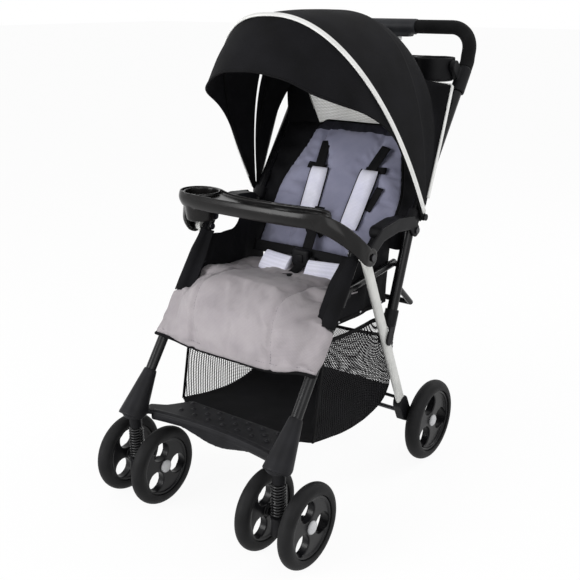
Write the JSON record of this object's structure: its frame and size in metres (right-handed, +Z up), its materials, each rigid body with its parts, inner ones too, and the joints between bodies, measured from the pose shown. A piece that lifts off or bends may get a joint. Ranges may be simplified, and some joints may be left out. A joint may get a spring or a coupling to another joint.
{
  "type": "stroller",
  "caption": "Folding single pushchair with a hood, child tray, parent cup tray, padded seat with harness, storage basket, sprung twin castors and a brake bar.",
  "frame": {"origin": "centre of the bounding box at floor level", "axes": "+Z up, the child faces -Y, +X to the child's left, X = 0 is the plane of symmetry"},
  "size_m": [0.508, 0.7565, 1.002],
  "materials": {
    "tube": "satin",
    "steel": "satin",
    "silver": "satin",
    "plastic": "matte",
    "tray": "semi-gloss",
    "trigger": "semi-gloss",
    "spring": "satin",
    "tyre": "matte",
    "rim": "satin",
    "foam": "matte",
    "black_cloth": "woven",
    "seat_cloth": "woven",
    "back_cloth": "woven",
    "pad_cloth": "soft"
  },
  "bodies": {
    "front_frame": {"front_leg_left": "tube", "front_leg_right": "tube", "footrest": "plastic", "hub_pins": "steel", "seat_brackets": "plastic", "calf_panel": "seat_cloth", "basket": "black_cloth"},
    "armrests": {"armrest_left": "plastic", "armrest_right": "plastic"},
    "push_frame": {"push_tube_left": "tube", "push_tube_right": "tube", "arm_pins": "steel", "latch_left": "plastic", "latch_right": "plastic", "support_bar": "tube", "recline_rod": "steel", "handle_bar": "tube", "handle_grips": "foam", "handle_housing": "plastic", "parent_tray": "plastic", "tray_brackets": "plastic", "hood_mounts": "plastic", "hood_rear_bow": "plastic", "hood_rear_panel": "black_cloth"},
    "rear_frame": {"rear_leg_left": "silver", "rear_leg_right": "silver", "rear_housing_left": "plastic", "rear_housing_right": "plastic", "rear_axle": "steel"},
    "brake": {"brake_bar": "tube"},
    "trigger": {"fold_trigger": "trigger"},
    "hood_front": {"hood_front_bow": "plastic", "hood": "black_cloth"},
    "seat": {"seat_tubes": "tube", "seat_cushion": "seat_cloth", "side_panels": "black_cloth", "harness_buckle": "plastic"},
    "back": {"backrest": "back_cloth", "shoulder_straps": "pad_cloth"},
    "tray": {"child_tray": "tray"},
    "castor_left": {"castor_post_left": "plastic", "castor_spring_left": "spring"},
    "strut_left": {"axle_carrier_left": "plastic", "front_axle_left": "steel"},
    "wheel_left_outer": {"front_tyre_left_outer": "tyre", "front_rim_left_outer": "rim"},
    "wheel_left_inner": {"front_tyre_left_inner": "tyre", "front_rim_left_inner": "rim"},
    "rear_wheel_left": {"rear_tyre_left": "tyre", "rear_rim_left": "rim"},
    "castor_right": {"castor_post_right": "plastic", "castor_spring_right": "spring"},
    "strut_right": {"axle_carrier_right": "plastic", "front_axle_right": "steel"},
    "wheel_right_outer": {"front_tyre_right_outer": "tyre", "front_rim_right_outer": "rim"},
    "wheel_right_inner": {"front_tyre_right_inner": "tyre", "front_rim_right_inner": "rim"},
    "rear_wheel_right": {"rear_tyre_right": "tyre", "rear_rim_right": "rim"}
  },
  "joints": [
    {"name": "fold", "type": "hinge", "parent": "front_frame", "child": "armrests", "pos_m": [0, -0.072, 0.553], "axis": [1, 0, 0], "range_deg": [0, 45]},
    {"name": "handle_swing", "type": "hinge", "parent": "armrests", "child": "push_frame", "pos_m": [0, 0.112, 0.567], "axis": [1, 0, 0], "range_deg": [-45, 0]},
    {"name": "rear_leg_close", "type": "hinge", "parent": "front_frame", "child": "rear_frame", "pos_m": [0, -0.072, 0.553], "axis": [1, 0, 0], "range_deg": [-31.5, 0]},
    {"name": "seat_lift", "type": "hinge", "parent": "front_frame", "child": "seat", "pos_m": [0, -0.0981, 0.48], "axis": [1, 0, 0], "range_deg": [0, 45]},
    {"name": "recline", "type": "hinge", "parent": "push_frame", "child": "back", "pos_m": [0, 0.0859, 0.494], "axis": [1, 0, 0], "range_deg": [0, 15]},
    {"name": "tray_lift", "type": "hinge", "parent": "front_frame", "child": "tray", "pos_m": [0, -0.072, 0.553], "axis": [1, 0, 0], "range_deg": [-45, 0]},
    {"name": "hood_fold", "type": "hinge", "parent": "push_frame", "child": "hood_front", "pos_m": [0, 0.14, 0.59], "axis": [1, 0, 0], "range_deg": [-22, 0]},
    {"name": "brake_press", "type": "hinge", "parent": "rear_frame", "child": "brake", "pos_m": [0, 0.176, 0.116], "axis": [1, 0, 0], "range_deg": [-14, 0]},
    {"name": "trigger_squeeze", "type": "slide", "parent": "push_frame", "child": "trigger", "axis": [0, 0, 1], "range_m": [0, 0.006], "stiffness_N_per_m": 400, "springref_m": -0.004},
    {"name": "swivel_left", "type": "hinge", "parent": "front_frame", "child": "castor_left", "pos_m": [-0.1885, -0.318, 0.2], "axis": [0, 0, 1], "continuous": true},
    {"name": "suspension_left", "type": "slide", "parent": "castor_left", "child": "strut_left", "axis": [0, 0, 1], "range_m": [0, 0.012], "stiffness_N_per_m": 12000, "springref_m": -0.008, "deforming": ["castor_spring_left"]},
    {"name": "spin_left_outer", "type": "hinge", "parent": "strut_left", "child": "wheel_left_outer", "pos_m": [-0.239, -0.296, 0.085], "axis": [1, 0, 0], "continuous": true},
    {"name": "spin_left_inner", "type": "hinge", "parent": "strut_left", "child": "wheel_left_inner", "pos_m": [-0.138, -0.296, 0.085], "axis": [1, 0, 0], "continuous": true},
    {"name": "spin_rear_left", "type": "hinge", "parent": "rear_frame", "child": "rear_wheel_left", "pos_m": [-0.224, 0.211, 0.094], "axis": [1, 0, 0], "continuous": true},
    {"name": "swivel_right", "type": "hinge", "parent": "front_frame", "child": "castor_right", "pos_m": [0.1885, -0.318, 0.2], "axis": [0, 0, 1], "continuous": true},
    {"name": "suspension_right", "type": "slide", "parent": "castor_right", "child": "strut_right", "axis": [0, 0, 1], "range_m": [0, 0.012], "stiffness_N_per_m": 12000, "springref_m": -0.008, "deforming": ["castor_spring_right"]},
    {"name": "spin_right_outer", "type": "hinge", "parent": "strut_right", "child": "wheel_right_outer", "pos_m": [0.239, -0.296, 0.085], "axis": [1, 0, 0], "continuous": true},
    {"name": "spin_right_inner", "type": "hinge", "parent": "strut_right", "child": "wheel_right_inner", "pos_m": [0.138, -0.296, 0.085], "axis": [1, 0, 0], "continuous": true},
    {"name": "spin_rear_right", "type": "hinge", "parent": "rear_frame", "child": "rear_wheel_right", "pos_m": [0.224, 0.211, 0.094], "axis": [1, 0, 0], "continuous": true}
  ],
  "couplings": [
    {"joint": "handle_swing", "follows": "fold", "ratio": -1},
    {"joint": "rear_leg_close", "follows": "fold", "ratio": -0.7},
    {"joint": "seat_lift", "follows": "fold", "ratio": 1}
  ]
}
